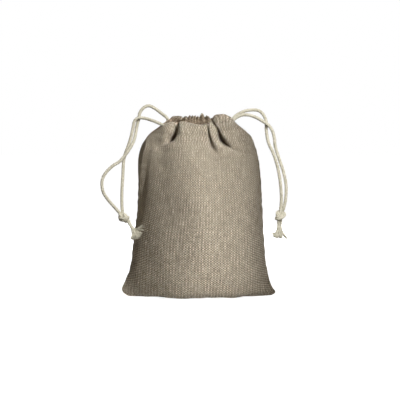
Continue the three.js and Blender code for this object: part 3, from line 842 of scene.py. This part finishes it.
def seam_lines():
    """The outer and inner edge of each seam allowance, inside the bag, by the seam's name."""
    height = np.linspace(*SIDE_SEAM_SPAN, 80)
    lines = {}
    for name, slit, edge in (("left", LEFT, LEFT_EDGE), ("right", RIGHT, RIGHT_EDGE)):
        outer, inner = (np.stack([slit * (table(edge, height) - inset), 0 * height, height], axis=1)
                        for inset in (SEAM_INSET, SEAM_INSET + SEAM_WIDTH))
        lines[name] = (outer, inner)
    across = np.linspace(-BOTTOM_SEAM_HALF, BOTTOM_SEAM_HALF, 80)
    foot = np.interp(across, [-BOTTOM_SEAM_HALF, 0, BOTTOM_SEAM_HALF], [2.4, 1.6, 3])
    lines["bottom"] = tuple(np.stack([across, 0 * across, foot + up], axis=1) for up in (0, SEAM_WIDTH))
    return lines


def make_seam(name, outer, inner, cloth_material, thread_material):
    """A seam allowance: both layers of cloth inside the seam, and the row of stitches through them."""
    share = np.linspace(0, 1, 7)[:, None, None]
    grid = outer[None] * (1 - share) + inner[None] * share
    place = np.linspace(0, length_of(outer), len(outer))
    grid[..., 1] += 0.5 * share[..., 0] * np.sin(place / 5.5) * np.cos(place / 17)
    uvs = np.stack(np.broadcast_arrays(place[None, :], share[..., 0] * SEAM_WIDTH), axis=-1).reshape(-1, 2)
    faces = grid_faces(*grid.shape[:2])
    strip = make_mesh(name + "_seam_layers", grid.reshape(-1, 3), faces, uvs, cloth_material)
    thicken(strip, 2 * CLOTH_THICKNESS, offset=0)
    line = grid[2] - (0, CLOTH_THICKNESS, 0)
    forwards = np.tile((0.0, -1.0, 0.0), (len(line), 1))
    return strip, stitch_along(name + "_seam_stitches", line, forwards, thread_material)


def bridge_line(slit, height, reach, lift):
    """The bend of a drawcord across the slit that it doesn't leave through."""
    start = np.array(run_point(FRONT, slit * LIP_HALF_LENGTH, height))
    angles = np.linspace(0, math.pi, 9)
    x = start[0] + slit * (1 + (reach - 1) * np.sin(angles))
    bend = np.stack([x, start[1] * np.cos(angles), height + lift * np.sin(angles)], axis=1)
    return spline(np.vstack([start, bend, start * (1, -1, 1)]), RUN_STEP)


class Nodes:
    """Short hand for the nodes of a material or of the world."""

    def __init__(self, owner):
        self.owner = owner
        owner.use_nodes = True
        self.tree = owner.node_tree

    def add(self, kind, inputs=None, **settings):
        node = self.tree.nodes.new(kind)
        for key, value in settings.items():
            setattr(node, key, value)
        return self.fill(node, inputs or {})

    def fill(self, node, inputs):
        for key, value in inputs.items():
            if isinstance(value, bpy.types.NodeSocket):
                self.tree.links.new(value, node.inputs[key])
            else:
                node.inputs[key].default_value = value
        return node

    def math(self, operation, a, b=0.0, c=0.0):
        return self.add("ShaderNodeMath", {0: a, 1: b, 2: c}, operation=operation).outputs[0]

    def times(self, a, b, plus=0.0):
        return self.math("MULTIPLY_ADD", a, b, plus)

    def noise(self, vector, scale, detail=2.0, rough=0.5):
        inputs = {"Vector": vector, "Scale": scale, "Detail": detail, "Roughness": rough}
        return self.add("ShaderNodeTexNoise", inputs).outputs["Fac"]

    def remap(self, value, low, high, start=0.0, end=1.0):
        inputs = {0: value, 1: low, 2: high, 3: start, 4: end}
        return self.add("ShaderNodeMapRange", inputs).outputs[0]

    def mix(self, share, a, b, blend="MIX"):
        inputs = {"Factor": share, 6: a, 7: b}
        return self.add("ShaderNodeMix", inputs, data_type="RGBA", blend_type=blend).outputs[2]

    def scaled(self, vector, scale):
        return self.add("ShaderNodeMapping", {"Vector": vector, "Scale": scale}).outputs[0]

    def finish(self, colour, relief, strength, distance, rough, specular=0.5, sheen=0.0):
        """The whole surface, with the relief as bump."""
        bump = self.add("ShaderNodeBump", {"Height": relief, "Strength": strength, "Distance": distance})
        self.fill(self.tree.nodes["Principled BSDF"], {
            "Base Color": colour, "Roughness": rough, "Specular IOR Level": specular,
            "Sheen Weight": sheen, "Normal": bump.outputs[0]})
        return self.owner


def rgb(red, green, blue):
    """A colour given in display values from 0 to 255."""
    values = [v / 255 for v in (red, green, blue)]
    return tuple(v / 12.92 if v <= 0.04045 else ((v + 0.055) / 1.055) ** 2.4 for v in values) + (1.0,)


# The yarns of the weave: pitch in metres, scales of their sway and of their tone, darkest and lightest.
WARP = (0.00146, (900.0, 130.0, 1.0), (700.0, 90.0, 1.0), (rgb(166, 154, 134), rgb(248, 236, 215)))
WEFT = (0.00118, (130.0, 900.0, 1.0), (90.0, 900.0, 1.0), (rgb(96, 85, 69), rgb(182, 170, 149)))
DARK_FLECK = rgb(70, 60, 48)
LIGHT_FLECK = rgb(250, 242, 226)
# Painted shade for the hem's inner side: the mouth and the back's inner face seen over the front edge.
HEM_PAINTED_SHADE = (0.92, 0.82, 0.75, 1.0)
CORD_COLOURS = rgb(196, 191, 170), rgb(226, 221, 203)
# Painted shade for the hollows between the cord's yarns.
CORD_SHADE = rgb(160, 152, 128)
CORD_YARN = 0.00052
THREAD_COLOURS = rgb(150, 138, 116), rgb(192, 180, 158)


def yarns(n, uv, place, loose, pitch, sway_scale, tone_scale, colours):
    """The wave across one set of parallel yarns, and the colour of each."""
    sway = n.math("SUBTRACT", n.noise(n.scaled(uv, sway_scale), 1.0), 0.5)
    wave = n.math("SINE", n.times(n.times(sway, loose, n.math("DIVIDE", place, pitch)), math.pi))
    tone = n.noise(n.scaled(uv, tone_scale), 1.0, 3.0, 0.7)
    return wave, n.mix(n.remap(tone, 0.3, 0.7), *colours)


def linen():
    """A plain weave of slubby yarns, laid out on the flat cloth, with painted shade in its hollows and on
    the hem's inner side. They sway more near the mouth.
    """
    n = Nodes(bpy.data.materials.new("linen_weave"))
    uv = n.add("ShaderNodeUVMap", uv_map=YARN_MAP).outputs[0]
    across, up, _ = n.add("ShaderNodeSeparateXYZ", {0: uv}).outputs
    loose = n.remap(up, 0.12, 0.16, 0.9, 1.8)
    wave_x, warp = yarns(n, uv, across, loose, *WARP)
    wave_y, weft = yarns(n, uv, up, loose, *WEFT)
    over = n.add("ShaderNodeClamp", {0: n.times(n.times(wave_x, wave_y), 1.5, 0.5)}).outputs[0]
    weft_height = n.times(n.math("ABSOLUTE", wave_y), n.math("SUBTRACT", 1.0, over))
    height = n.times(n.math("ABSOLUTE", wave_x), over, weft_height)
    fleck = n.noise(uv, 620.0, 4.0, 0.8)
    dark = n.times(n.remap(fleck, 0.33, 0.46, 1.0, 0.0), 0.85)
    light = n.times(n.remap(fleck, 0.58, 0.72), 0.75)
    colour = n.mix(dark, n.mix(over, weft, warp), DARK_FLECK)
    colour = n.mix(light, colour, LIGHT_FLECK)
    # Painted shade: darker where the weave's relief is low and along the warp's wave, multiplied with tone
    # that differs at random.
    whole = n.remap(height, 0.1, 0.6, 0.45, 1.0)
    whole = n.times(whole, n.remap(n.noise(uv, 40.0, 3.0), 0.3, 0.7, 0.95, 1.04))
    whole = n.times(whole, n.times(wave_x, 0.15, 0.95))
    whole = n.times(whole, n.remap(n.noise(uv, 240.0), 0.3, 0.7, 0.9, 1.1))
    hollow_shade_and_tone = n.add("ShaderNodeCombineColor", {0: whole, 1: whole, 2: whole}).outputs[0]
    colour = n.mix(1.0, colour, hollow_shade_and_tone, "MULTIPLY")
    # Painted shade: the hem's inner side, past the crest on the flat cloth, is darker and browner, for the
    # mouth and the back's inner face.
    inside = n.remap(up, (CREST + 0.6) * MM, (CREST + 2.2) * MM)
    colour = n.mix(inside, colour, n.mix(1.0, colour, HEM_PAINTED_SHADE, "MULTIPLY"))
    relief = n.times(n.noise(uv, 3200.0, 2.0, 0.6), 0.35, height)
    return n.finish(colour, relief, strength=0.8, distance=0.0002, rough=0.92, specular=0.2, sheen=0.12)


def cotton():
    """Soft off-white cotton with fine yarns round the cord."""
    n = Nodes(bpy.data.materials.new("cotton_cord"))
    uv = n.add("ShaderNodeUVMap", uv_map=YARN_MAP).outputs[0]
    around, along, _ = n.add("ShaderNodeSeparateXYZ", {0: uv}).outputs
    slant = n.times(along, 1.1, around)
    lines = n.math("SINE", n.times(slant, 2 * math.pi / CORD_YARN))
    where = n.add("ShaderNodeTexCoord").outputs["Object"]
    tone = n.remap(n.noise(where, 420.0, 3.0, 0.6), 0.35, 0.65)
    colour = n.mix(tone, *CORD_COLOURS)
    # Painted shade: darker in the hollows between the yarns.
    colour = n.mix(n.remap(lines, -1.0, 0.2, 0.25, 0.0), colour, CORD_SHADE)
    relief = n.times(lines, 0.4, n.noise(where, 5200.0, 2.0, 0.6))
    return n.finish(colour, relief, strength=0.7, distance=0.0002, rough=0.9, specular=0.25, sheen=0.2)


def sewing_thread():
    n = Nodes(bpy.data.materials.new("sewing_thread"))
    where = n.add("ShaderNodeTexCoord").outputs["Object"]
    colour = n.mix(n.noise(where, 900.0), *THREAD_COLOURS)
    return n.finish(colour, n.noise(where, 7000.0), strength=0.5, distance=0.0001, rough=0.7)


# The lights: degrees round from the front and up, size in metres, spread in degrees, watts and aim.
LIGHTS = {
    "key": (38, 30, (0.075, 0.6), 7.2, 0.2, (-0.018, 0, 0.09)),
    "top": (5, 70, (0.5, 0.5), 180, 1.2, (0, 0, 0.15)),
    "back": (165, 14, (0.8, 0.8), 180, 8, (0, 0, 0.1)),
    "cords": (25, 35, (0.5, 0.5), 180, 13, (0, 0, 0.12)),
}
LIGHT_DISTANCE = 1
SURROUND = (0.066, 0.052, 0.035, 1)
WHITE = (1, 1, 1, 1)
FLOOR_COLOUR = (0.8, 0.8, 0.8, 1)
FLOOR_HALF = 6000.0
FLOOR_HEIGHT = -0.2


def make_floor():
    """A pale floor that the camera sees glowing nearly white, with painted shade round the bag where the
    glow is weaker.
    """
    n = Nodes(bpy.data.materials.new("pale_floor"))
    seen = n.add("ShaderNodeLightPath").outputs["Is Camera Ray"]
    where = n.add("ShaderNodeTexCoord").outputs["Object"]
    away = n.add("ShaderNodeVectorMath", {0: where}, operation="LENGTH").outputs["Value"]
    # Only the camera sees the floor's glow, which is weaker round the bag: painted shade there.
    n.fill(n.tree.nodes["Principled BSDF"], {
        "Base Color": FLOOR_COLOUR, "Roughness": 1.0, "Specular IOR Level": 0.0, "Emission Color": WHITE,
        "Emission Strength": n.times(seen, n.remap(away, 0.1, 0.7, 0.88, 1.0))})
    corners = ((-1, -1), (1, -1), (1, 1), (-1, 1))
    points = [(x * FLOOR_HALF, y * FLOOR_HALF, FLOOR_HEIGHT) for x, y in corners]
    floor = make_mesh("floor", points, [range(4)], None, n.owner)
    return floor


def make_stage(cords, cloths):
    """The floor, a dim surround and the lights, of which key and cords light only what is linked to them."""
    floor = make_floor()
    world = bpy.data.worlds.new("studio")
    bpy.context.scene.world = world
    n = Nodes(world)
    seen = n.add("ShaderNodeLightPath").outputs["Is Camera Ray"]
    n.fill(n.tree.nodes["Background"], {0: n.mix(seen, SURROUND, WHITE)})
    lights = {name: add_light(name, *row) for name, row in LIGHTS.items()}
    for name, pieces in (("key", cloths + [floor]), ("cords", cords)):
        receivers = bpy.data.collections.new("lit by " + name)
        for piece in pieces:
            receivers.objects.link(piece)
        lights[name].light_linking.receiver_collection = receivers


def add_light(name, azimuth, elevation, size, spread, watts, aim):
    data = bpy.data.lights.new(name, "AREA")
    data.shape = "RECTANGLE"
    data.size, data.size_y = size
    data.spread = math.radians(spread)
    data.energy = watts
    light = bpy.data.objects.new(name, data)
    stand(light, azimuth, elevation, LIGHT_DISTANCE, aim)
    return light


make_camera()
bpy.context.scene.view_settings.view_transform = "Standard"
cotton_material = cotton()
linen_material = linen()
thread_material = sewing_thread()

cord_pieces = []
cloth_pieces = []
for slit in ("left", "right"):
    knot = slit + "_knot"
    tails = slit + "_tails"
    strands = [slit + "_front_strand", slit + "_back_strand"]
    ends = [slit + "_front_end", slit + "_back_end"]
    tied = make_knot("tied_" + knot, KNOTS[knot], strands, ends, cotton_material)
    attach(tied, tails)
    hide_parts(knot)
    for k, end in enumerate(ends):
        frayed = make_end("frayed_" + end, ENDS[end], FRAY_SEEDS[k], cotton_material)
        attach(frayed, tails)
        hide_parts(end)
        line = spline(STRANDS[strands[k]], STRAND_STEP)
        cord = make_cord("twisted_" + strands[k], line, cotton_material)
        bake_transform(cord)
        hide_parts(strands[k])
        pieces = [tied, frayed] if k == 0 else [frayed]
        cord_pieces += pieces + [cord]

for name, bend in BRIDGES.items():
    bridge = make_cord("twisted_" + name + "_bridge", bridge_line(*bend), cotton_material)
    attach(bridge, "bag_body")
    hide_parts(name + "_bridge")

for name, side in (("front", FRONT), ("back", BACK)):
    shape = Cloth(side)
    cloth, grid = make_cloth(name + "_cloth", shape, linen_material)
    bend_with_lip(cloth)
    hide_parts(name + "_panel", name + "_casing")
    stitches = make_stitches(name + "_stitches", grid, ROWS_BELOW, thread_material)
    bend_with_lip(stitches)
    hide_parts(name + "_casing_stitching")
    for cord, height in (("left_cord", UPPER_RUN), ("right_cord", LOWER_RUN)):
        node = cord + "_" + name + "_run"
        run = make_cord("twisted_" + node, shape.run(height), cotton_material)
        bend_with_lip(run)
        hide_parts(node)
    cloth_pieces += [cloth, stitches]

for name, (outer, inner) in seam_lines().items():
    strip, thread = make_seam(name, outer, inner, linen_material, thread_material)
    for piece, node in ((strip, name + "_seam_allowance"), (thread, name + "_seam_thread")):
        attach(piece, "bag_body")
        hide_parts(node)

make_stage(cord_pieces, cloth_pieces)
